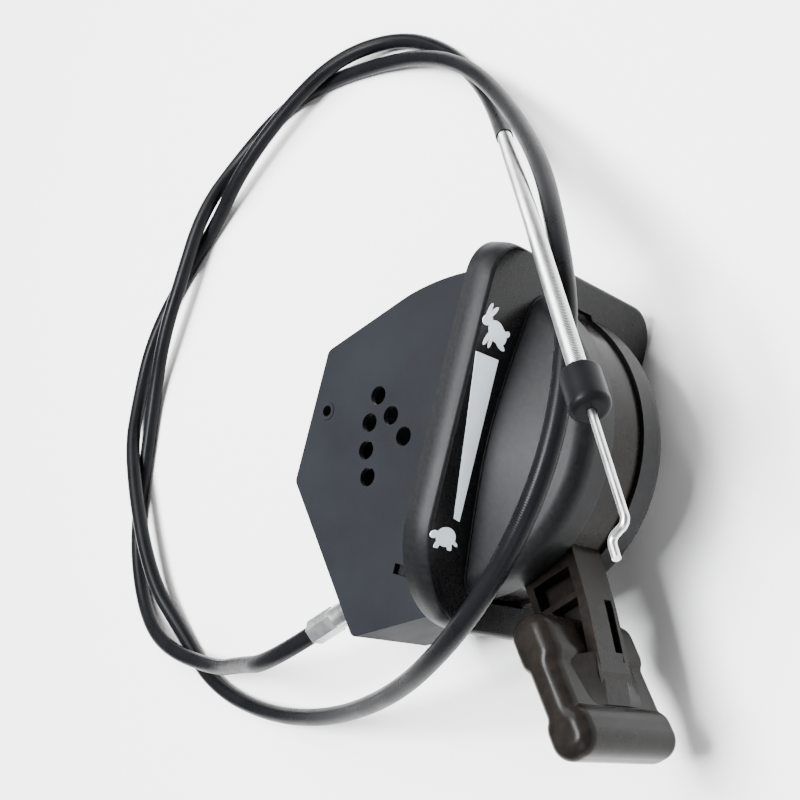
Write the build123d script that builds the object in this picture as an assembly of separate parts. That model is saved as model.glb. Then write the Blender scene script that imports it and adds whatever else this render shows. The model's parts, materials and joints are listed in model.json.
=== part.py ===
from build123d import *
import math
import os

# Panel throttle control: a moulded bezel with a half-disc dome, a T-handle lever on a drum that
# turns in the dome's slot, a pressed steel channel behind it, and a sheathed control cable.
#
# Everything is drawn in the panel frame: X to the right, Y back through the panel, Z up towards
# the fast end. The last step lays the control down on its right side: +Z of the finished part is
# the left side of the control, +X its fast end, -Y its front. All lengths are in millimetres.

# Bezel
BEZEL_W = 68.8
BEZEL_H = 90.0
BEZEL_T = 7.0
BEZEL_TOP_R = 10.0
BEZEL_BOTTOM_R = 25.0
SIDE_R = 9.0
SIDE_CUT = 4.7
CREASE_R = 1.0
INNER_R = 3.4
WALL = 2.4
FILM = 0.15

# Dome and pivot
PIVOT_Y = 15.3
DOME_R = 38.9
DOME_RIM_HALF = 16.9
DOME_DRAFT = 0.186
DOME_EDGE_R = 5.0
SLOT_HALF = 6.4
SLOT_END_Z = 36.8
FOOT_EDGE = 0.4

# Steel channel
SHEET = 1.5
CHANNEL_HALF = 13.5
INNER_HALF = CHANNEL_HALF - SHEET
REAR_Y = 67.8
HOLE_R = 2.48
WINDOW_Y = (20.4, 25.6)
WINDOW_Z = (33.5, 36.1)
WEB_Z = (-19.0, 15.0)

# Lever
REST_ANGLE = -48.0
LEVER_TRAVEL = 75.0
DRUM_R = 38.0
DRUM_RIM = 2.8
DRUM_HALF = 5.9
HUB_R = 9.0
HUB_HALF = 8.0
CRANK_WEB = (1.4, 4.4)
CRANK_R = 18.1
HANDLE_HALF = 19.0
WEB_HALF = 1.4
SLOT_WALL_X = 4.4
RISE_AT = (60.5, 71.5)
END_R = 3.4

# Pivot hardware
BOLT_R = 3.0
BUSH_R = 4.0
FIT = 0.05

# Cable
CABLE_R = 2.5
WIRE_R = 0.85
CABLE_OFFSET = 16.3
WIRE_RATE = 18.0
CABLE_ANGLE = 39.6
FERRULE_R = 3.3
FERRULE_LEN = 26.5
SOCKET = 8.0
BORE_R = 1.0
MOUTH_BACK = 71.8
TAB_AT = 22.6
FIRST_RUN = 28.0
JACKET_LAST_RUN = 42
CONDUIT_R = 2.1
CONDUIT_BORE_R = 1.2
CAP_R = 4.3
CAP_LEN = 10.5
CAP_LIP = 2.5
WIRE_FREE = 27.5
WIRE_HIDDEN = 3.0
LEG = 5.0
TAIL = 4.4


# Where the laid-down part has its origin: the middle of the footprint, on the surface
LAY_DOWN = Pos(8.727, -12.872, BEZEL_W / 2) * Rot(0, 90, 0)


def polar(radius, angle):
    """Y and Z of a point at a radius from the pivot; 0 degrees is straight out of the panel, up is positive."""
    a = math.radians(angle)
    return (PIVOT_Y - radius * math.cos(a), radius * math.sin(a))


def side_plate(outline, x_low, x_high):
    """A flat piece with its outline in Y and Z, between two X planes."""
    return extrude(Plane.YZ.offset(x_low) * outline, x_high - x_low)


def polygon(points):
    return make_face(Polyline(*points, close=True))


def block(x, y, z):
    """A box given by its low and high values along each axis."""
    size = [high - low for low, high in (x, y, z)]
    middle = [(high + low) / 2 for low, high in (x, y, z)]
    return Pos(*middle) * Box(*size)


def ring(x_low, x_high, outer, inner, centre=(PIVOT_Y, 0)):
    """A washer or tube whose axis runs along X through a point given in Y and Z."""
    face = Circle(outer) - Circle(inner) if inner else Circle(outer)
    return side_plate(Pos(*centre) * face, x_low, x_high)


def hexagon(x_low, x_high, across_flats, hole, centre=(PIVOT_Y, 0)):
    face = RegularPolygon(across_flats / 2, 6, major_radius=False)
    if hole:
        face -= Circle(hole)
    return side_plate(Pos(*centre) * face, x_low, x_high)


def sector(inner, outer, low, high):
    """A ring segment about the pivot, from one angle to another."""
    middle = (low + high) / 2
    return make_face(
        Curve()
        + [
            ThreePointArc(polar(outer, low), polar(outer, middle), polar(outer, high)),
            Line(polar(outer, high), polar(inner, high)),
            ThreePointArc(polar(inner, high), polar(inner, middle), polar(inner, low)),
            Line(polar(inner, low), polar(outer, low)),
        ]
    )


# ---------------------------------------------------------------- bezel and its marks


def bezel_outline(inset=0.0):
    face = Rectangle(BEZEL_W - 2 * inset, BEZEL_H - 2 * inset)
    rows = face.vertices().group_by(Axis.Y)
    face = fillet(rows[-1], BEZEL_TOP_R - inset)
    rows = face.vertices().filter_by(lambda v: v.Y < -BEZEL_H / 2 + inset + 1)
    return fillet(rows, BEZEL_BOTTOM_R - inset)


def from_back(outline, back, front):
    """A solid with its outline in X and Z, from a back Y to a front Y."""
    return extrude(Plane.XZ.offset(-back) * outline, back - front)


def dome(inset=0.0):
    """The round body of the dome: a disc about the pivot with drafted cheeks, cut off behind the face."""
    radius = DOME_R - inset
    rim = DOME_RIM_HALF + DOME_DRAFT * inset - inset
    middle = rim + DOME_DRAFT * radius
    outline = polygon(
        [
            (-middle, PIVOT_Y),
            (-rim, PIVOT_Y - radius),
            (rim, PIVOT_Y - radius),
            (middle, PIVOT_Y),
        ]
    )
    disc = revolve(outline, Axis((0, PIVOT_Y, 0), (1, 0, 0)))
    rims = disc.edges().filter_by(GeomType.CIRCLE).sort_by(lambda e: e.radius)[-2:]
    return fillet(rims, max(DOME_EDGE_R - inset, 1.0))


def prong(side):
    """One of the springy prongs that locate the bezel between the channel's side plates."""
    body = block((9.5, 11.7), (WALL - 0.6, 27.5), (31.5, 38.0))
    body = chamfer(body.edges().group_by(Axis.Y)[-1], 0.7)
    return mirror(body, Plane.YZ) if side < 0 else body


def snap_hook(side):
    """A prong at the slow end, with a barb that clicks out through a window of the channel."""
    hook = prong(1)
    barb = Plane.XY.offset(WINDOW_Z[0] + 0.3) * polygon([(11.5, 25.2), (13.3, 21.2), (11.5, 21.2)])
    hook += extrude(barb, WINDOW_Z[1] - WINDOW_Z[0] - 0.6)
    hook = mirror(hook, Plane.XY)
    return mirror(hook, Plane.YZ) if side < 0 else hook


def make_bezel():
    shell = from_back(bezel_outline(), BEZEL_T, -SIDE_CUT)
    shell = fillet(shell.edges().group_by(Axis.Y)[0], SIDE_R)
    shell -= block((-60, 60), (-SIDE_CUT - 1, 0), (-60, 60))
    shell = fillet(shell.edges().group_by(Axis.Y)[0], CREASE_R)
    hollow = from_back(bezel_outline(WALL), BEZEL_T + 1, WALL)
    shell -= fillet(hollow.edges().group_by(Axis.Y)[0], INNER_R)
    ahead = block((-60, 60), (-60, WALL), (-60, 60))
    shell += dome() & ahead
    shell += dome(-FOOT_EDGE) & block((-60, 60), (-FOOT_EDGE, WALL), (-60, 60))
    shell -= dome(WALL) & block((-60, 60), (-60, BEZEL_T + 1), (-SLOT_END_Z, SLOT_END_Z))
    shell -= block((-SLOT_HALF, SLOT_HALF), (-60, WALL + 1), (-SLOT_END_Z, SLOT_END_Z))
    for side in (-1, 1):
        shell += prong(side)
        shell += snap_hook(side)
    return shell


WEDGE = [(-32.6, 17.6), (-24.4, 17.6), (-24.3, -20.0), (-26.4, -19.6)]
# Each blob is an ellipse: X, Z, half length, half width, turn in degrees.
HARE = [
    (0.8, -0.9, 3.3, 2.2, -24),
    (2.7, -1.7, 2.0, 1.9, 0),
    (-3.2, 0.9, 1.7, 1.25, 20),
    (-1.9, 2.9, 2.0, 0.62, 50),
    (-3.3, 3.0, 1.9, 0.55, 75),
    (-1.9, -2.9, 2.0, 0.62, 66),
    (-0.6, -3.2, 1.8, 0.60, 84),
    (3.2, -3.6, 1.8, 0.62, 160),
    (4.7, -0.4, 0.8, 0.7, 0),
]
HARE_AT = (-28.1, 24.3)
TORTOISE = [
    (0.4, 0.3, 3.3, 2.2, 0),
    (-3.7, 0.4, 1.3, 0.9, 15),
    (-2.0, -1.7, 1.3, 0.75, 60),
    (2.3, -1.7, 1.3, 0.75, 115),
    (4.0, -0.8, 1.0, 0.42, -25),
]
TORTOISE_AT = (-28.0, -24.3)


def blobs(shapes, centre):
    outline = Sketch()
    for x, z, long_half, wide_half, turn in shapes:
        outline += Pos(x, z) * Rot(0, 0, turn) * Ellipse(long_half, wide_half)
    return Pos(*centre) * outline


def tortoise_outline():
    """A shell with a head, legs and a tail, standing on a flat line."""
    x, z = TORTOISE_AT
    return blobs(TORTOISE, TORTOISE_AT) - Pos(x, z - 3.5) * Rectangle(20, 2.0)


def printed(outline):
    """A thin printed film on the face of the bezel."""
    return from_back(outline, 0, -FILM)


# ---------------------------------------------------------------- steel channel


CORNER_FRONT = (6.0, -40.7)
CORNER_LOW = (33.7, -54.1)
PLATE_HOLES = [
    (45.3, 6.4),
    (39.2, 1.9),
    (33.2, -2.7),
    (46.0, -0.9),
    (44.8, -8.0),
    (42.0, -14.6),
]
STANDOFF_AT = (62.4, 0.0)
STANDOFF_R = 3.5


def plate_outline():
    edges = [
        Polyline((WALL, 38.8), (WALL, -38.0), CORNER_FRONT, CORNER_LOW),
        Polyline(CORNER_LOW, (REAR_Y, -20.1), (REAR_Y, 16.2), (43.7, 33.2)),
        ThreePointArc((43.7, 33.2), (27.0, 40.3), (5.0, 42.2)),
        Line((5.0, 42.2), (WALL, 38.8)),
    ]
    face = make_face(Curve() + edges)
    return fillet(face.vertices().filter_by(lambda v: v.X > 60 or v.Y < -50), 2.0)


def make_channel():
    plate = plate_outline()
    plate -= Pos(PIVOT_Y, 0) * Circle(BOLT_R + FIT)
    plate -= Pos(*STANDOFF_AT) * Circle(HOLE_R)
    size = (WINDOW_Y[1] - WINDOW_Y[0], WINDOW_Z[1] - WINDOW_Z[0])
    plate -= Pos(sum(WINDOW_Y) / 2, -sum(WINDOW_Z) / 2) * Rectangle(*size)
    left = plate
    for hole in PLATE_HOLES:
        left -= Pos(*hole) * Circle(HOLE_R)
    channel = side_plate(left, -CHANNEL_HALF, -INNER_HALF)
    channel += side_plate(plate, INNER_HALF, CHANNEL_HALF)
    along = Vector(*CORNER_LOW) - Vector(*CORNER_FRONT)
    inward = Vector(-along.Y, along.X).normalized() * SHEET
    end = Vector(*CORNER_LOW) - along.normalized() * 1.2
    web = polygon(
        [
            CORNER_FRONT,
            (end.X, end.Y),
            (end.X + inward.X, end.Y + inward.Y),
            (CORNER_FRONT[0] + inward.X, CORNER_FRONT[1] + inward.Y),
        ]
    )
    channel += side_plate(web, -CHANNEL_HALF, CHANNEL_HALF)
    channel += block((-CHANNEL_HALF, CHANNEL_HALF), (REAR_Y - SHEET, REAR_Y), WEB_Z)
    return channel + anchor_tab()


# ---------------------------------------------------------------- cable entry frame


def cable_direction():
    """The way the wire moves as it is pulled in, in the panel frame."""
    a = math.radians(CABLE_ANGLE)
    return Vector(0, -math.cos(a), math.sin(a))


def cable_foot():
    """The point of the wire's line that is nearest to the pivot."""
    d = cable_direction()
    return Vector(0, PIVOT_Y, 0) + Vector(0, -d.Z, d.Y) * CABLE_OFFSET


def on_cable(distance, x=0.0):
    """A point on the wire's line, measured from the ferrule's mouth towards the lever."""
    return cable_foot() + cable_direction() * (distance - MOUTH_BACK) + Vector(x, 0, 0)


def cable_plane(distance):
    return Plane(on_cable(distance), x_dir=(1, 0, 0), z_dir=cable_direction())


def anchor_tab():
    """A tab bent in from the right side plate, with the keyhole that holds the ferrule's neck."""
    width = INNER_HALF + 0.5 + 7.5
    face = Pos((INNER_HALF + 0.5 - 7.5) / 2, 1.0) * Rectangle(width, 15.0)
    face -= Circle(FERRULE_R - 0.7)
    face -= Pos(0, -5.0) * Rectangle(2 * (FERRULE_R - 0.75), 10.0)
    return extrude(cable_plane(TAB_AT) * face, SHEET)


def make_ferrule():
    """Crimped sleeve, round body, grooved neck and nose; the wire runs through it."""
    crimp = extrude(cable_plane(0) * RegularPolygon(FERRULE_R - 0.15, 6, major_radius=False), 9.0)
    body = extrude(cable_plane(9.0) * Circle(FERRULE_R), TAB_AT - 0.1 - 9.0)
    neck = extrude(cable_plane(TAB_AT - 0.1) * Circle(FERRULE_R - 0.8), SHEET + 0.2)
    nose = extrude(cable_plane(TAB_AT + SHEET + 0.1) * Circle(FERRULE_R), FERRULE_LEN - TAB_AT - SHEET - 0.1)
    ferrule = crimp + body + neck + nose
    ferrule -= extrude(cable_plane(-1) * Circle(CABLE_R + 0.02), SOCKET + 1)
    return ferrule - extrude(cable_plane(-1) * Circle(BORE_R), FERRULE_LEN + 2)


# ---------------------------------------------------------------- lever


def on_lever(out, across):
    """Y and Z of a point on the lever at rest: outward from the pivot, and across to the thumb side."""
    a = math.radians(REST_ANGLE)
    y, z = polar(out, REST_ANGLE)
    return (y + across * math.sin(a), z + across * math.cos(a))


def handle_profile():
    """The dog-bone section of the T-handle: local X runs outward, local Y to the thumb side."""
    bone = Pos(66, 0.3) * Rectangle(20, 8.0)
    bone += Pos(56.2, 0.4) * RectangleRounded(13.4, 10.4, 4.3)
    bone += Pos(76.4, 0.4) * RectangleRounded(11.4, 10.8, 4.6)
    return fillet(bone.vertices().filter_by(lambda v: 58 < v.X < 74), 1.5)


def make_lever():
    low_end = -68.0 - LEVER_TRAVEL
    rim = side_plate(sector(DRUM_R - DRUM_RIM, DRUM_R, low_end, 68.0), -DRUM_HALF, DRUM_HALF)
    groove = side_plate(sector(DRUM_R - 5, DRUM_R + 1, low_end - 2, -108.0), -1.7, 1.7)
    lever = rim - groove
    lever += side_plate(sector(HUB_R - 1, DRUM_R - 1, low_end, 68.0), *CRANK_WEB)
    lever += ring(-HUB_HALF, HUB_HALF, HUB_R, 0)
    for angle in (-66, -33, 0, 33):
        tilt = Pos(PIVOT_Y, 0) * Rot(0, 0, 180 - angle) * Pos((HUB_R + DRUM_R - 1) / 2 - 1, 0)
        lever += side_plate(tilt * Rectangle(DRUM_R - HUB_R, 2.0), -DRUM_HALF + 0.6, CRANK_WEB[0])
    crank = CABLE_ANGLE - 90 - LEVER_TRAVEL / 2
    slot = Pos(PIVOT_Y, 0) * Rot(0, 0, 180 - crank) * Pos(CRANK_R, 0) * SlotOverall(7.4, 3.7)
    lever -= side_plate(slot, CRANK_WEB[0] - 1, CRANK_WEB[1] + 1)
    lever += make_arm()
    lever += make_handle()
    lever += make_swell()
    return lever - ring(-HUB_HALF - 1, HUB_HALF + 1, BUSH_R + FIT, 0)


def make_arm():
    """The arm between drum and handle: a web with a front flange, two pockets and a slot."""
    front = [on_lever(35.0, 12.4), on_lever(50.4, 10.2), on_lever(60.5, 8.0), on_lever(65.0, 7.0)]
    back = [on_lever(69.5, 4.0), on_lever(66.0, 0.0), on_lever(54.0, -3.5), on_lever(35.0, -3.0)]
    arm = side_plate(polygon(front + back), -DRUM_HALF, DRUM_HALF)
    inner = [on_lever(40.3, 9.2), on_lever(46.2, 8.6), on_lever(46.2, -1.6), on_lever(40.3, -1.2)]
    outer = [on_lever(47.6, 8.4), on_lever(59.5, 5.6), on_lever(59.5, 3.0), on_lever(47.6, 1.0)]
    for pocket in (inner, outer):
        arm -= side_plate(polygon(pocket), -DRUM_HALF - 1, -WEB_HALF)
        arm -= side_plate(polygon(pocket), WEB_HALF, DRUM_HALF + 1)
    slot = [on_lever(48.5, 13.0), on_lever(64.0, 10.0), on_lever(61.0, 5.0), on_lever(48.5, 5.0)]
    return arm - side_plate(polygon(slot), WEB_HALF, SLOT_WALL_X)


def make_swell():
    """The rise of the handle's thumb side towards the arm."""
    near, far = RISE_AT
    a = math.radians(REST_ANGLE)
    outward = Vector(0, -math.cos(a), math.sin(a))
    sections = []
    for out, width, height in ((near, 13.0, 8.0), (far, 11.0, 4.5)):
        y, z = on_lever(out, 0)
        plane = Plane((0, y, z), x_dir=(1, 0, 0), z_dir=outward)
        outline = [(-width, 3.0), (width, 3.0), (width, 4.2), (4.6, height), (-4.6, height), (-width, 4.2)]
        sections.append(plane * polygon(outline))
    return loft(sections, ruled=True)


def make_handle():
    a = math.radians(REST_ANGLE)
    outward = (0, -math.cos(a), math.sin(a))
    plane = Plane((HANDLE_HALF, PIVOT_Y, 0), x_dir=outward, z_dir=(-1, 0, 0))
    bar = extrude(plane * handle_profile(), 2 * HANDLE_HALF)
    ends = bar.edges().group_by(Axis.X)
    return fillet(ends[0] + ends[-1], END_R)


# ---------------------------------------------------------------- pivot hardware


def hex_piece(x_low, x_high, across_flats, hole):
    """A hexagon with its outer corners turned off, as on a bolt head or a nut."""
    body = hexagon(x_low, x_high, across_flats, hole)
    turned = ring(x_low, x_high, across_flats / 2 * 1.13, 0)
    return body & chamfer(turned.edges(), 0.5)


def make_spring_washer():
    """A coned spring washer, drawn as its half section and turned about the pivot."""
    section = polygon([(9.5, 9.4), (10.3, 9.4), (11.0, 4.2), (10.2, 4.2)])
    return Pos(0, PIVOT_Y, 0) * revolve(section, Axis.X)


def make_bolt():
    head = hex_piece(-CHANNEL_HALF - 4.0, -CHANNEL_HALF, 10.0, 0)
    shank = ring(-CHANNEL_HALF - 0.5, 22.0, BOLT_R, 0)
    return head + chamfer(shank.edges().group_by(Axis.X)[-1], 0.6)


def make_standoff():
    tube = ring(-INNER_HALF, INNER_HALF, STANDOFF_R, 0, STANDOFF_AT)
    tube += ring(-CHANNEL_HALF - 0.2, CHANNEL_HALF + 0.2, HOLE_R - FIT, 0, STANDOFF_AT)
    return tube - ring(-CHANNEL_HALF - 1, CHANNEL_HALF + 1, 1.5, 0, STANDOFF_AT)


# ---------------------------------------------------------------- cable


def to_row(point):
    """A point of the panel frame, where it is once the control has been laid down."""
    p = (LAY_DOWN * Pos(*point)).position
    return (round(p.X, 3), round(p.Y, 3), round(p.Z, 3))


# The cable's route in the laid-down frame: down from the ferrule to the surface, one and a half
# turns round the control, over the front of the dome on the way, and back up in front of the dome.
ROUTE = [
    to_row(on_cable(SOCKET)),
    to_row(on_cable(SOCKET - FIRST_RUN)),
    (-68.5, 89, 20),
    (-75.5, 113, 8.3),
    (-76, 143, 8),
    (-65, 167, 2.5),
    (-43, 180.5, 2.5),
    (-14, 186.5, 2.5),
    (7, 190.5, 3),
    (28, 188, 7.5),
    (50, 185.5, 8.3),
    (76, 182.2, 9.3),
    (98, 177.5, 2.5),
    (117, 160, 2.5),
    (126.5, 139, 2.5),
    (131, 117, 2.5),
    (131, 92, 6),
    (124, 67, 11),
    (107.5, 40, 20),
    (83, 7.5, 37),
    (58.4, -17.3, 54.3),
    (36, -33.5, 63.5),
    (10, -38, 64.5),
    (-16, -32, 63),
    (-39, -15, 55),
    (-58.5, 16, 34),
    (-75, 56, 13),
    (-83.5, 92, 2.5),
    (-82, 119, 2.5),
    (-70, 141, 2.5),
    (-55, 160, 8),
    (-17, 188, 8.4),
    (4, 200, 2.5),
    (25, 201.5, 2.5),
    (46, 195, 2.5),
    (72, 181.5, 2.5),
    (92, 167.5, 8),
    (114, 152, 8),
    (132, 131, 8.2),
    (140.5, 109, 2.5),
    (134, 85, 2.5),
    (121, 66, 3.5),
    (106, 48, 12),
    (86.5, 25, 28),
    (61.5, -9.9, 56.1),
    (41.1, -31.5, 69.0),
    (17.0, -53.8, 78.4),
]


def corner_radius(before, corner, after):
    """The largest arc that leaves a tenth of the shorter run straight."""
    first = Vector(corner) - Vector(before)
    second = Vector(after) - Vector(corner)
    turn = math.radians(first.get_angle(second))
    return 0.45 * min(first.length, second.length) / math.tan(turn / 2)


RADII = [corner_radius(*ROUTE[i : i + 3]) for i in range(len(ROUTE) - 2)]


def swept(points, radii, outer, inner, label):
    """A round rod or tube along straight runs that are joined by tangent arcs."""
    path = FilletPolyline(*points, radius=radii)
    section = Circle(outer) - Circle(inner) if inner else Circle(outer)
    rod = sweep(Plane(path @ 0, z_dir=path % 0) * section, path)
    area = math.pi * (outer**2 - inner**2)
    print(f"{label}: {path.length:.1f} mm long, volume {rod.volume / (area * path.length):.4f} of section x length")
    return rod


def make_jacket():
    """The black sheath; it stops half way along a straight run, and the bare conduit goes on."""
    start, end = ROUTE[JACKET_LAST_RUN], ROUTE[JACKET_LAST_RUN + 1]
    middle = tuple((p + q) / 2 for p, q in zip(start, end))
    points = ROUTE[: JACKET_LAST_RUN + 1] + [middle]
    return swept(points, RADII[:JACKET_LAST_RUN], CABLE_R, CONDUIT_R + FIT, "cable_jacket")


def make_conduit():
    return swept(ROUTE, RADII, CONDUIT_R, CONDUIT_BORE_R, "wound_conduit")


def last_run():
    """The straight direction in which the conduit ends."""
    return (Vector(*ROUTE[-1]) - Vector(*ROUTE[-2])).normalized()


def end_plane(distance):
    """A section plane of the conduit's far end, at a distance beyond the conduit."""
    return Plane(Vector(*ROUTE[-1]) + last_run() * distance, z_dir=last_run())


def make_cap():
    """A moulded cap over the conduit's end; the wire comes out of its lip."""
    cap = extrude(end_plane(CAP_LIP - CAP_LEN) * Circle(CAP_R), CAP_LEN)
    ends = cap.edges().filter_by(GeomType.CIRCLE)
    near, far = ends.sort_by_distance(end_plane(CAP_LIP).origin)[0], ends.sort_by_distance(
        end_plane(CAP_LIP - CAP_LEN).origin
    )[0]
    cap = fillet(near, 1.6)
    cap = fillet(cap.edges().filter_by(GeomType.CIRCLE).sort_by_distance(far.center())[0], 0.7)
    cap -= extrude(end_plane(-CAP_LEN) * Circle(CONDUIT_R + 0.03), CAP_LEN)
    return cap - extrude(end_plane(-1) * Circle(BORE_R), CAP_LIP + 2)


def wire(points, radii):
    path = FilletPolyline(*points, radius=radii)
    return sweep(Plane(path @ 0, z_dir=path % 0) * Circle(WIRE_R), path)


def make_far_wire():
    """The end of the wire with its Z bend, from just inside the cap."""
    along = last_run()
    down = Vector(-0.66, 0.69, -0.29)
    across = (down - along * down.dot(along)).normalized()
    tip = end_plane(CAP_LIP + WIRE_FREE).origin
    hidden = end_plane(CAP_LIP - WIRE_HIDDEN).origin
    elbow = tip + across * LEG
    return wire([hidden, tip, elbow, elbow + along * TAIL], [1.5, 1.5])


def make_lever_wire():
    """The end of the wire that the lever pulls, from inside the ferrule to its crank pin."""
    pin = on_cable(MOUTH_BACK - WIRE_RATE * math.radians(LEVER_TRAVEL) / 2)
    leg = Vector(6.0, 0, 0)
    tail = -cable_direction() * 4.5
    return wire([on_cable(1.0), pin, pin + leg, pin + leg + tail], [1.3, 1.3])


def make_middle_wire():
    """The length of the wire that stays inside the conduit, clear of both moving ends."""
    start = to_row(on_cable(-1.0))
    end = tuple((p + 2 * q) / 3 for p, q in zip(ROUTE[-3], ROUTE[-2]))
    points = [start] + ROUTE[1:-2] + [end]
    return swept(points, RADII[:-1], WIRE_R, 0, "control_wire_middle")


# ---------------------------------------------------------------- all the pieces


def panel_pieces():
    """Every piece that is drawn in the panel frame."""
    return {
        "bezel": make_bezel(),
        "hare_mark": printed(blobs(HARE, HARE_AT)),
        "tortoise_mark": printed(tortoise_outline()),
        "wedge_mark": printed(polygon(WEDGE)),
        "side_bracket": make_channel(),
        "rear_standoff": make_standoff(),
        "pivot_bolt": make_bolt(),
        "pivot_bush": ring(-INNER_HALF, INNER_HALF, BUSH_R, BOLT_R + FIT),
        "thrust_collar": ring(-INNER_HALF, -9.5, 8.5, BUSH_R + FIT),
        "friction_washer_left": ring(-9.5, -HUB_HALF, 10.5, BUSH_R + FIT),
        "friction_washer_right": ring(HUB_HALF, 9.5, 10.5, BUSH_R + FIT),
        "spring_washer": make_spring_washer(),
        "plain_washer_inner": ring(11.0, INNER_HALF, 9.0, BUSH_R + FIT),
        "bolt_washer": ring(CHANNEL_HALF, 15.0, 6.2, BOLT_R + FIT),
        "lock_nut": hex_piece(15.0, 21.0, 10.0, BOLT_R + FIT)
        - ring(19.0, 20.6, 4.2, 0),
        "lock_nut_insert": ring(19.0, 20.6, 4.2, BOLT_R + 0.02),
        "lever": make_lever(),
        "conduit_ferrule": make_ferrule(),
        "control_wire_lever_end": make_lever_wire(),
    }


def row_pieces():
    """The cable and what is on it, drawn where they lie."""
    return {
        "cable_jacket": make_jacket(),
        "wound_conduit": make_conduit(),
        "conduit_cap": make_cap(),
        "control_wire_middle": make_middle_wire(),
        "control_wire_far_end": make_far_wire(),
    }


def build_all():
    pieces = {name: LAY_DOWN * shape for name, shape in panel_pieces().items()}
    pieces.update(row_pieces())
    return pieces


print("cable radii", [round(r) for r in RADII])
os.makedirs("parts", exist_ok=True)
for node, shape in build_all().items():
    export_step(shape, f"parts/{node}.step")
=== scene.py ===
"""Looks of the panel throttle control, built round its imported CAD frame.

The frame's axes: the control lies on its right side on the floor, z = 0. +Z is its left side, +X
its fast end, -Y its front. Lengths are in metres, written as millimetres times MM.
"""

import json
import math

import bpy
from mathutils import Matrix, Vector


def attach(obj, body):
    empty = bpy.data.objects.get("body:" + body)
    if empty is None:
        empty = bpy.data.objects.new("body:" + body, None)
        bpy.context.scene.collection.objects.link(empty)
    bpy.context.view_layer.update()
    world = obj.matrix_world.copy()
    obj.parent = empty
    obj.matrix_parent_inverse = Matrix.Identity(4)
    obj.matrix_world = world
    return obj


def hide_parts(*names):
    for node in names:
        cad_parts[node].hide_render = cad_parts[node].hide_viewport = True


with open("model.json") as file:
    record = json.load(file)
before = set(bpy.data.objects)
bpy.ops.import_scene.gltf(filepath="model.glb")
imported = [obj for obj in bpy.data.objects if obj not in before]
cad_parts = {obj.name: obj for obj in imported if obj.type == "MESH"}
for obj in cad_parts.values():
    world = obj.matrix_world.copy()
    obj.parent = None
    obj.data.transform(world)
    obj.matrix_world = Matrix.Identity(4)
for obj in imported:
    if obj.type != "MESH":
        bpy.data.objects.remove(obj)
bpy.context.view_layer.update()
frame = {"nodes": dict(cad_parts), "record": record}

MM = 0.001

# ---------------------------------------------------------------- sizes that repeat the CAD's

FACE_Y = -12.872 * MM
CABLE_R = 2.5 * MM
CONDUIT_R = 2.1 * MM
WIRE_R = 0.85 * MM
CABLE_ANGLE = math.radians(39.6)
MOUTH = Vector((-49.599, 47.357, 34.4)) * MM
FERRULE_AXIS = Vector((math.sin(CABLE_ANGLE), -math.cos(CABLE_ANGLE), 0))
SOCKET = 8 * MM
FIRST_RUN = 28 * MM

# The cable's route has the CAD's points, but for the first, which is the ferrule's mouth.
FIRST_CORNER = MOUTH + FERRULE_AXIS * (SOCKET - FIRST_RUN)
ROUTE = [MOUTH, FIRST_CORNER] + [
    Vector(p) * MM
    for p in [
        (-68.5, 89, 20),
        (-75.5, 113, 8.3),
        (-76, 143, 8),
        (-65, 167, 2.5),
        (-43, 180.5, 2.5),
        (-14, 186.5, 2.5),
        (7, 190.5, 3),
        (28, 188, 7.5),
        (50, 185.5, 8.3),
        (76, 182.2, 9.3),
        (98, 177.5, 2.5),
        (117, 160, 2.5),
        (126.5, 139, 2.5),
        (131, 117, 2.5),
        (131, 92, 6),
        (124, 67, 11),
        (107.5, 40, 20),
        (83, 7.5, 37),
        (58.4, -17.3, 54.3),
        (36, -33.5, 63.5),
        (10, -38, 64.5),
        (-16, -32, 63),
        (-39, -15, 55),
        (-58.5, 16, 34),
        (-75, 56, 13),
        (-83.5, 92, 2.5),
        (-82, 119, 2.5),
        (-70, 141, 2.5),
        (-55, 160, 8),
        (-17, 188, 8.4),
        (4, 200, 2.5),
        (25, 201.5, 2.5),
        (46, 195, 2.5),
        (72, 181.5, 2.5),
        (92, 167.5, 8),
        (114, 152, 8),
        (132, 131, 8.2),
        (140.5, 109, 2.5),
        (134, 85, 2.5),
        (121, 66, 3.5),
        (106, 48, 12),
        (86.5, 25, 28),
        (61.5, -9.9, 56.1),
        (41.1, -31.5, 69.0),
        (17.0, -53.8, 78.4),
    ]
]
JACKET_LAST_RUN = 42

# How finely the cable's pieces follow the spline.
SPAN_STEPS = 120
JACKET_STEP = 0.187 * MM
BARE_STEP = 0.5 * MM
JACKET_SIDES = 14
WIRE_SIDES = 12
WIRE_STRIDE = 12

# The surface of the cable's pieces.
RIB_PITCH = 0.56 * MM
RIB_DEPTH = 0.05 * MM
RIB_SHARPNESS = 0.7
COIL_PITCH = 0.50 * MM
COIL_WIRE_R = 0.22 * MM
# Name of the weight for the painted shade between the coil's turns.
PAINTED_CREVICE_SHADE = "painted_crevice_shade"


# ---------------------------------------------------------------- the cable's centreline


def centreline(points):
    """The points of a smooth NURBS spline that has the route's points as its control points."""
    curve = bpy.data.curves.new("route", "CURVE")
    curve.dimensions = "3D"
    spline = curve.splines.new("NURBS")
    spline.points.add(len(points) - 1)
    for knot, point in zip(spline.points, points):
        knot.co = (*point, 1)
    spline.order_u = 3
    spline.use_endpoint_u = True
    spline.resolution_u = SPAN_STEPS
    holder = bpy.data.objects.new("route", curve)
    mesh = bpy.data.meshes.new_from_object(holder)
    line = [v.co.copy() for v in mesh.vertices]
    bpy.data.objects.remove(holder)
    bpy.data.curves.remove(curve)
    bpy.data.meshes.remove(mesh)
    return line


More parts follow.
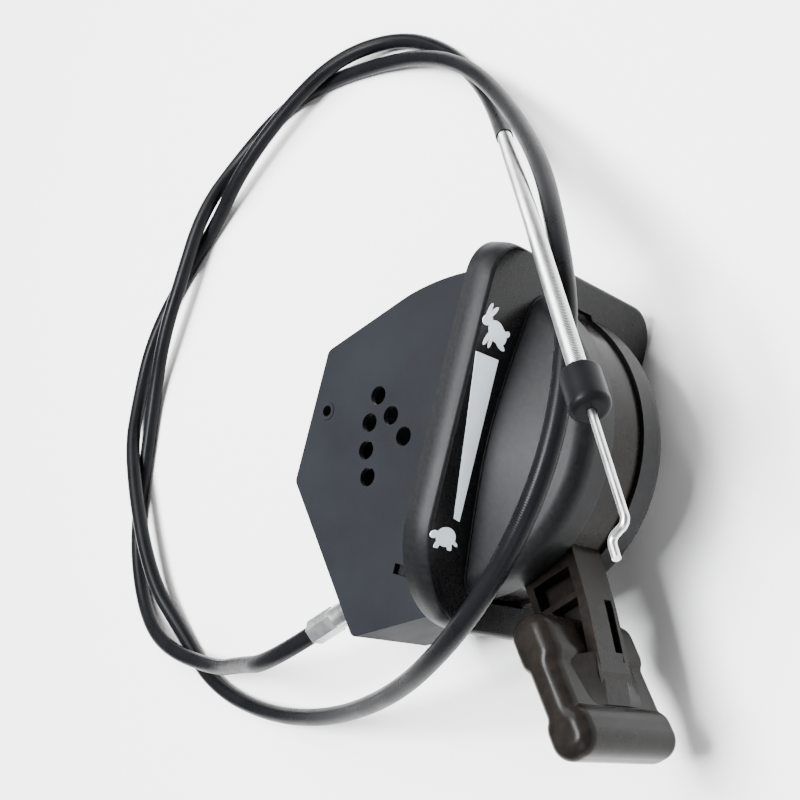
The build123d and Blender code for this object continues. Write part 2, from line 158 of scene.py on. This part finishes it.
def evened(line, step):
    """The same line with evenly spaced points."""
    total = sum((b - a).length for a, b in zip(line, line[1:]))
    spacing = total / round(total / step)
    out, travelled, target = [line[0]], 0.0, spacing
    for a, b in zip(line, line[1:]):
        length = (b - a).length
        while length > 0 and target <= travelled + length and target < total - spacing / 2:
            out.append(a.lerp(b, (target - travelled) / length))
            target += spacing
        travelled += length
    return out + [line[-1]]


def frames(line):
    """Two directions across the line at each point, carried along it without twisting."""
    tangents = [(b - a).normalized() for a, b in zip(line, line[1:])]
    tangents.append(tangents[-1])
    across = tangents[0].orthogonal().normalized()
    result = []
    for tangent in tangents:
        across = (across - tangent * across.dot(tangent)).normalized()
        result.append((across.copy(), tangent.cross(across)))
    return result


def add_mesh(name, points, faces, smooth=True):
    mesh = bpy.data.meshes.new(name)
    mesh.from_pydata(points, [], faces)
    mesh.validate()
    mesh.shade_smooth() if smooth else mesh.shade_flat()
    obj = bpy.data.objects.new(name, mesh)
    bpy.context.scene.collection.objects.link(obj)
    return obj


def tube(name, line, radius_at, sides=20):
    """A closed tube along a line; radius_at gives the radius from the distance along it."""
    points, faces = [], []
    distance = 0.0
    for i, (centre, (u, v)) in enumerate(zip(line, frames(line))):
        distance += (line[i] - line[i - 1]).length if i else 0.0
        radius = radius_at(distance)
        for k in range(sides):
            a = 2 * math.pi * k / sides
            points.append(centre + (u * math.cos(a) + v * math.sin(a)) * radius)
    for i in range(len(line) - 1):
        for k in range(sides):
            a, b = i * sides + k, i * sides + (k + 1) % sides
            faces.append((a, b, b + sides, a + sides))
    faces.append(tuple(reversed(range(sides))))
    last = (len(line) - 1) * sides
    faces.append(tuple(last + k for k in range(sides)))
    return add_mesh(name, points, faces)


whole_line = centreline(ROUTE)
jacket_end = (ROUTE[JACKET_LAST_RUN] + ROUTE[JACKET_LAST_RUN + 1]) / 2
split = min(range(len(whole_line)), key=lambda i: (whole_line[i] - jacket_end).length)
jacket_line = evened(whole_line[: split + 1], JACKET_STEP)
bare_line = evened(whole_line[split:], BARE_STEP)


def jacket_radius(distance):
    """The jacket shows the windings under it as fine ribs."""
    rib = (0.5 - 0.5 * math.cos(2 * math.pi * distance / RIB_PITCH)) ** RIB_SHARPNESS
    return CABLE_R - RIB_DEPTH * (1 - rib)


jacket = tube("cable_jacket_ribbed", jacket_line, jacket_radius, JACKET_SIDES)
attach(jacket, "housing")
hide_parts("cable_jacket")


def winding(name, line, pitch, coil_radius, wire_radius, sides=6, steps=20):
    """A close-wound spring along an evenly spaced line, as one wire. It carries a weight for
    painted shade on the wire's sides, where each turn faces the next.
    """
    length = sum((b - a).length for a, b in zip(line, line[1:]))
    directions = frames(line)
    spacing = length / (len(line) - 1)
    total = int(length / pitch * steps)
    points, faces = [], []
    for i in range(total + 1):
        place = i / steps * pitch / spacing
        k = min(len(line) - 2, int(place))
        centre = line[k].lerp(line[k + 1], place - k)
        u, v = directions[k]
        turn = 2 * math.pi * i / steps
        out = u * math.cos(turn) + v * math.sin(turn)
        ahead = (line[k + 1] - line[k]).normalized()
        for s in range(sides):
            a = 2 * math.pi * s / sides
            off = out * (coil_radius + math.cos(a) * wire_radius)
            off += ahead * math.sin(a) * wire_radius
            points.append(centre + off)
    for i in range(total):
        for s in range(sides):
            a, b = i * sides + s, i * sides + (s + 1) % sides
            faces.append((a, b, b + sides, a + sides))
    faces.append(tuple(reversed(range(sides))))
    faces.append(tuple(total * sides + s for s in range(sides)))
    obj = add_mesh(name, points, faces)
    # Painted shade: a weight that is highest on the wire's sides facing the next turn, which the
    # material darkens.
    painted_crevice_shade = obj.data.attributes.new(PAINTED_CREVICE_SHADE, "FLOAT", "POINT")
    shade_around = [abs(math.sin(2 * math.pi * s / sides)) for s in range(sides)]
    painted_crevice_shade.data.foreach_set("value", shade_around * (total + 1))
    return obj


coil_radius = CONDUIT_R - COIL_WIRE_R
conduit = winding("conduit_windings", bare_line, COIL_PITCH, coil_radius, COIL_WIRE_R)
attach(conduit, "housing")
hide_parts("wound_conduit")

wire_line = whole_line[::WIRE_STRIDE] + [whole_line[-1]]
wire = tube("control_wire_run", wire_line, lambda distance: WIRE_R, WIRE_SIDES)
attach(wire, "housing")
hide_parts("control_wire_middle")


# ---------------------------------------------------------------- materials


class Nodes:
    """A material's node tree, with short calls for the nodes that this script uses."""

    def __init__(self, name):
        self.material = bpy.data.materials.new(name)
        self.material.use_nodes = True
        self.tree = self.material.node_tree
        self.tree.nodes.clear()
        self.output = self.tree.nodes.new("ShaderNodeOutputMaterial")
        self.shader = self.tree.nodes.new("ShaderNodeBsdfPrincipled")
        self.link(self.shader.outputs[0], self.output.inputs["Surface"])
        self.coordinates = self.tree.nodes.new("ShaderNodeTexCoord").outputs["Object"]

    def link(self, source, target):
        self.tree.links.new(source, target)

    def set(self, **values):
        for key, value in values.items():
            self.shader.inputs[key.replace("_", " ")].default_value = value

    def noise(self, scale, detail=4.0, roughness=0.55, stretch=None):
        node = self.tree.nodes.new("ShaderNodeTexNoise")
        node.inputs["Scale"].default_value = scale
        node.inputs["Detail"].default_value = detail
        node.inputs["Roughness"].default_value = roughness
        source = self.coordinates
        if stretch:
            mapping = self.tree.nodes.new("ShaderNodeMapping")
            mapping.inputs["Scale"].default_value = stretch
            self.link(source, mapping.inputs["Vector"])
            source = mapping.outputs[0]
        self.link(source, node.inputs["Vector"])
        return node.outputs["Fac"]

    def between(self, source, low, high, to_low=0.0, to_high=1.0):
        """Maps a value from one range to another, held at the ends."""
        node = self.tree.nodes.new("ShaderNodeMapRange")
        node.interpolation_type = "SMOOTHSTEP"
        for key, value in (
            ("From Min", low),
            ("From Max", high),
            ("To Min", to_low),
            ("To Max", to_high),
        ):
            node.inputs[key].default_value = value
        self.link(source, node.inputs["Value"])
        return node.outputs["Result"]

    def ramp(self, source, stops):
        node = self.tree.nodes.new("ShaderNodeValToRGB")
        while len(node.color_ramp.elements) < len(stops):
            node.color_ramp.elements.new(0.5)
        for element, (place, color) in zip(node.color_ramp.elements, stops):
            element.position = place
            element.color = (*color, 1)
        self.link(source, node.inputs["Fac"])
        return node.outputs["Color"]

    def math(self, operation, a, b=None):
        node = self.tree.nodes.new("ShaderNodeMath")
        node.operation = operation
        for socket, value in zip(node.inputs, (a, b)):
            if value is None:
                continue
            if isinstance(value, (int, float)):
                socket.default_value = value
            else:
                self.link(value, socket)
        return node.outputs[0]

    def mix(self, factor, a, b):
        """a where the factor is 0, b where it is 1, for plain values."""
        return self.math("ADD", a, self.math("MULTIPLY", factor, self.math("SUBTRACT", b, a)))

    def coordinate(self, axis):
        node = self.tree.nodes.new("ShaderNodeSeparateXYZ")
        self.link(self.coordinates, node.inputs[0])
        return node.outputs["XYZ".index(axis)]

    def bump(self, height, strength, distance):
        node = self.tree.nodes.new("ShaderNodeBump")
        node.inputs["Strength"].default_value = strength
        node.inputs["Distance"].default_value = distance
        self.link(height, node.inputs["Height"])
        self.link(node.outputs[0], self.shader.inputs["Normal"])

    def connect(self, source, name):
        self.link(source, self.shader.inputs[name])


def bezel_material():
    """Black moulding: gloss on the flat of the face, a fine grain on the cheeks and the edge."""
    m = Nodes("bezel plastic")
    off_face = m.math("ABSOLUTE", m.math("SUBTRACT", m.coordinate("Y"), FACE_Y))
    face = m.between(off_face, 0.05 * MM, 0.12 * MM, 1.0, 0.0)
    grain = m.noise(5200, 3.0, 0.6)
    smudge = m.noise(38, 5.0, 0.6)
    satin = m.between(smudge, 0.3, 0.7, 0.38, 0.46)
    gloss = m.between(smudge, 0.3, 0.7, 0.22, 0.30)
    m.connect(m.mix(face, satin, gloss), "Roughness")
    shades = [(0.3, (0.004, 0.004, 0.0045)), (0.7, (0.007, 0.007, 0.0075))]
    m.connect(m.ramp(m.noise(900, 2.0), shades), "Base Color")
    relief = m.math("MULTIPLY", grain, m.between(face, 0.0, 1.0, 1.0, 0.08))
    m.bump(relief, 0.5, 0.06 * MM)
    m.set(IOR=1.5, Specular_IOR_Level=0.09)
    return m.material


def lever_material():
    """Gloss black moulding with the slight waves of a thick section."""
    m = Nodes("lever plastic")
    smudge = m.noise(55, 5.0, 0.6)
    m.connect(m.between(smudge, 0.3, 0.75, 0.16, 0.28), "Roughness")
    shades = [(0.35, (0.006, 0.0052, 0.0046)), (0.7, (0.010, 0.0082, 0.007))]
    m.connect(m.ramp(m.noise(420, 3.0), shades), "Base Color")
    relief = m.math("ADD", m.noise(90, 2.0), m.math("MULTIPLY", m.noise(2600, 2.0), 0.1))
    m.bump(relief, 0.16, 0.25 * MM)
    m.set(IOR=1.5, Specular_IOR_Level=0.05)
    return m.material


def coated_steel_material():
    """Satin black coating on pressed steel, with a fine orange peel and faint rolling marks."""
    m = Nodes("black coated steel")
    peel = m.noise(1500, 2.0, 0.5)
    cloud = m.noise(30, 5.0, 0.65)
    m.connect(m.between(cloud, 0.3, 0.72, 0.50, 0.60), "Roughness")
    shades = [(0.3, (0.007, 0.0075, 0.009)), (0.75, (0.010, 0.011, 0.013))]
    m.connect(m.ramp(cloud, shades), "Base Color")
    relief = m.math("ADD", peel, m.math("MULTIPLY", m.noise(9000, 2.0), 0.3))
    m.bump(relief, 0.25, 0.05 * MM)
    m.set(IOR=1.5, Specular_IOR_Level=0.045)
    return m.material


SCRATCH_STRETCH = (1, 1, 14)


def zinc_material(name, bright, rough):
    """Bright metal with fine scratches and dull patches."""
    m = Nodes(name)
    cloud = m.noise(160, 5.0, 0.6)
    scratch = m.noise(900, 3.0, 0.6, SCRATCH_STRETCH)
    m.connect(m.between(cloud, 0.3, 0.7, rough, rough + 0.14), "Roughness")
    dull = tuple(0.82 * c for c in bright)
    m.connect(m.ramp(cloud, [(0.25, dull), (0.7, bright)]), "Base Color")
    m.bump(scratch, 0.12, 0.04 * MM)
    m.set(Metallic=1.0)
    return m.material


def wound_material():
    """Bright wire wound close, with painted shade where each turn faces the next."""
    m = Nodes("wound steel")
    attribute = m.tree.nodes.new("ShaderNodeAttribute")
    attribute.attribute_name = PAINTED_CREVICE_SHADE
    # Painted shade: the base colour goes from bright to dark grey where the weight for shade
    # between the turns is high.
    shades = [(0.3, (0.92, 0.92, 0.92)), (0.85, (0.16, 0.16, 0.16))]
    m.connect(m.ramp(attribute.outputs["Fac"], shades), "Base Color")
    m.connect(m.between(m.noise(160, 5.0, 0.6), 0.3, 0.7, 0.30, 0.42), "Roughness")
    m.set(Metallic=1.0)
    return m.material


def film_material():
    """Pale printed film with a hint of mottle."""
    m = Nodes("mark film")
    mottle = m.noise(300, 4.0)
    shades = [(0.3, (0.76, 0.85, 0.90)), (0.7, (0.84, 0.92, 0.96))]
    m.connect(m.ramp(mottle, shades), "Base Color")
    m.connect(m.between(mottle, 0.3, 0.7, 0.32, 0.42), "Roughness")
    m.bump(m.noise(4000, 2.0), 0.08, 0.02 * MM)
    return m.material


def rubber_material(name, low, high, color):
    """Black PVC or rubber with a fine skin texture."""
    m = Nodes(name)
    cloud = m.noise(85, 4.0, 0.6)
    m.connect(m.between(cloud, 0.3, 0.7, low, high), "Roughness")
    m.connect(m.ramp(cloud, [(0.3, color), (0.75, tuple(1.5 * c for c in color))]), "Base Color")
    m.bump(m.noise(6000, 2.0), 0.3, 0.02 * MM)
    m.set(IOR=1.5, Specular_IOR_Level=0.05)
    return m.material


def matte_material(name, color, rough):
    """A dull plain material with a fine mottle."""
    m = Nodes(name)
    cloud = m.noise(700, 4.0)
    m.connect(m.ramp(cloud, [(0.3, tuple(0.8 * c for c in color)), (0.7, color)]), "Base Color")
    m.connect(m.between(cloud, 0.3, 0.7, rough, rough + 0.1), "Roughness")
    m.bump(cloud, 0.3, 0.05 * MM)
    return m.material


PLASTIC_BLACK = (0.004, 0.004, 0.0045)
MATERIALS = {
    "bezel_plastic": bezel_material(),
    "lever_plastic": lever_material(),
    "mark_film": film_material(),
    "black_steel": coated_steel_material(),
    "zinc_steel": zinc_material("zinc plated steel", (0.58, 0.59, 0.58), 0.24),
    "bright_steel": zinc_material("bright drawn steel", (0.66, 0.66, 0.66), 0.26),
    "wound_steel": wound_material(),
    "friction_lining": matte_material("friction lining", (0.10, 0.075, 0.055), 0.75),
    "nylon": matte_material("nylon", (0.72, 0.71, 0.66), 0.4),
    "jacket_pvc": rubber_material("jacket pvc", 0.24, 0.34, PLASTIC_BLACK),
    "cap_rubber": rubber_material("cap rubber", 0.36, 0.48, PLASTIC_BLACK),
}


def dress(obj, slot):
    """Gives a piece one of the materials in place of any it has."""
    obj.data.materials.clear()
    obj.data.materials.append(MATERIALS[slot])


for entry in frame["record"]["subparts"]:
    dress(frame["nodes"][entry["node"]], entry["material_slot"])
# The standoff is black like the bracket, although its slot says zinc.
dress(frame["nodes"]["rear_standoff"], "black_steel")
dress(jacket, "jacket_pvc")
dress(conduit, "wound_steel")
dress(wire, "bright_steel")

# ---------------------------------------------------------------- floor, light and camera


FLOOR_SIZE = 8


def make_floor():
    bpy.ops.mesh.primitive_plane_add(size=FLOOR_SIZE, location=(0, 0, 0))
    floor = bpy.context.object
    floor.name = "floor"
    m = Nodes("floor")
    shades = [(0.3, (0.87, 0.855, 0.84)), (0.7, (0.90, 0.885, 0.87))]
    m.connect(m.ramp(m.noise(2.0, 2.0), shades), "Base Color")
    m.set(Roughness=0.9)
    floor.data.materials.append(m.material)


def softbox(name, place, aim, width, height, power, color=(1, 1, 1)):
    light = bpy.data.lights.new(name, "AREA")
    light.shape = "RECTANGLE"
    light.size, light.size_y = width, height
    light.energy = power
    light.color = color
    obj = bpy.data.objects.new(name, light)
    obj.location = place
    obj.rotation_euler = (Vector(aim) - Vector(place)).to_track_quat("-Z", "Y").to_euler()
    bpy.context.scene.collection.objects.link(obj)


def make_camera():
    """The camera stands above and in front, rolled so that the fast end is up."""
    place = Vector((-10.97, -193.77, 275.1)) * MM
    ahead = Vector((0.0818, 0.6905, -0.7187)).normalized()
    right = Vector((0.2410, -0.7134, -0.6580))
    right = (right - ahead * right.dot(ahead)).normalized()
    up = right.cross(ahead)
    data = bpy.data.cameras.new("camera")
    data.sensor_width = 36
    data.lens = 56.2
    data.clip_start = 0.01
    camera = bpy.data.objects.new("camera", data)
    turn = Matrix((right, up, -ahead)).transposed().to_4x4()
    camera.matrix_world = Matrix.Translation(place) @ turn
    bpy.context.scene.collection.objects.link(camera)
    bpy.context.scene.camera = camera


def make_world():
    world = bpy.data.worlds.new("studio")
    world.use_nodes = True
    background = world.node_tree.nodes["Background"]
    background.inputs["Color"].default_value = (0.93, 0.95, 1.0, 1)
    background.inputs["Strength"].default_value = 0.30
    bpy.context.scene.world = world


make_floor()
middle = (0.01, 0.02, 0.03)
softbox("window", (-0.02, 0.08, 1.00), middle, 0.42, 0.34, 46, (0.94, 0.97, 1.0))
softbox("floor fill", (0.50, 0.35, 0.90), (0.1, 0.1, 0), 0.7, 0.7, 22)
softbox("front fill", (-0.60, -0.50, 0.60), middle, 0.5, 0.5, 3)
make_world()
make_camera()
